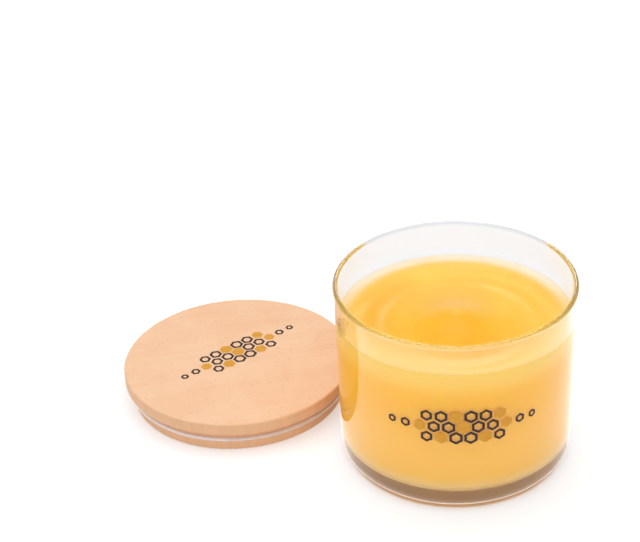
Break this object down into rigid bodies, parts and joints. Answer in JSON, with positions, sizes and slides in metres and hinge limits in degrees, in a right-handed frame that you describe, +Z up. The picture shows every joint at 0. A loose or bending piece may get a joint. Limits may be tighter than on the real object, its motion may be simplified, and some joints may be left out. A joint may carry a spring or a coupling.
{
  "type": "jar of honey with its wooden lid beside it",
  "caption": "Low clear glass jar filled with creamed honey to just below its rim; its round wooden stopper lid with a soft sealing ring lies beside it.",
  "frame": {"origin": "middle of the bottom of the box round the jar and its lid, on the surface that both stand on", "axes": "+Z up; +X from the lid's side to the jar's side, along the longest extent; +Y to the back, away from the side where the print is"},
  "size_m": [0.197, 0.1412, 0.08],
  "materials": {
    "glass": "clear, smooth, fire-polished rim",
    "honey": "opaque creamed honey, soft gloss",
    "lid_wood": "pale beech, sanded, no lacquer gloss",
    "seal": "milky translucent silicone",
    "print_dark": "thin dark brown print",
    "print_gold": "thin gold print"
  },
  "bodies": {
    "root": {"glass_jar": "glass", "honey": "honey", "lid": "lid_wood", "seal_ring": "seal"}
  },
  "joints": []
}
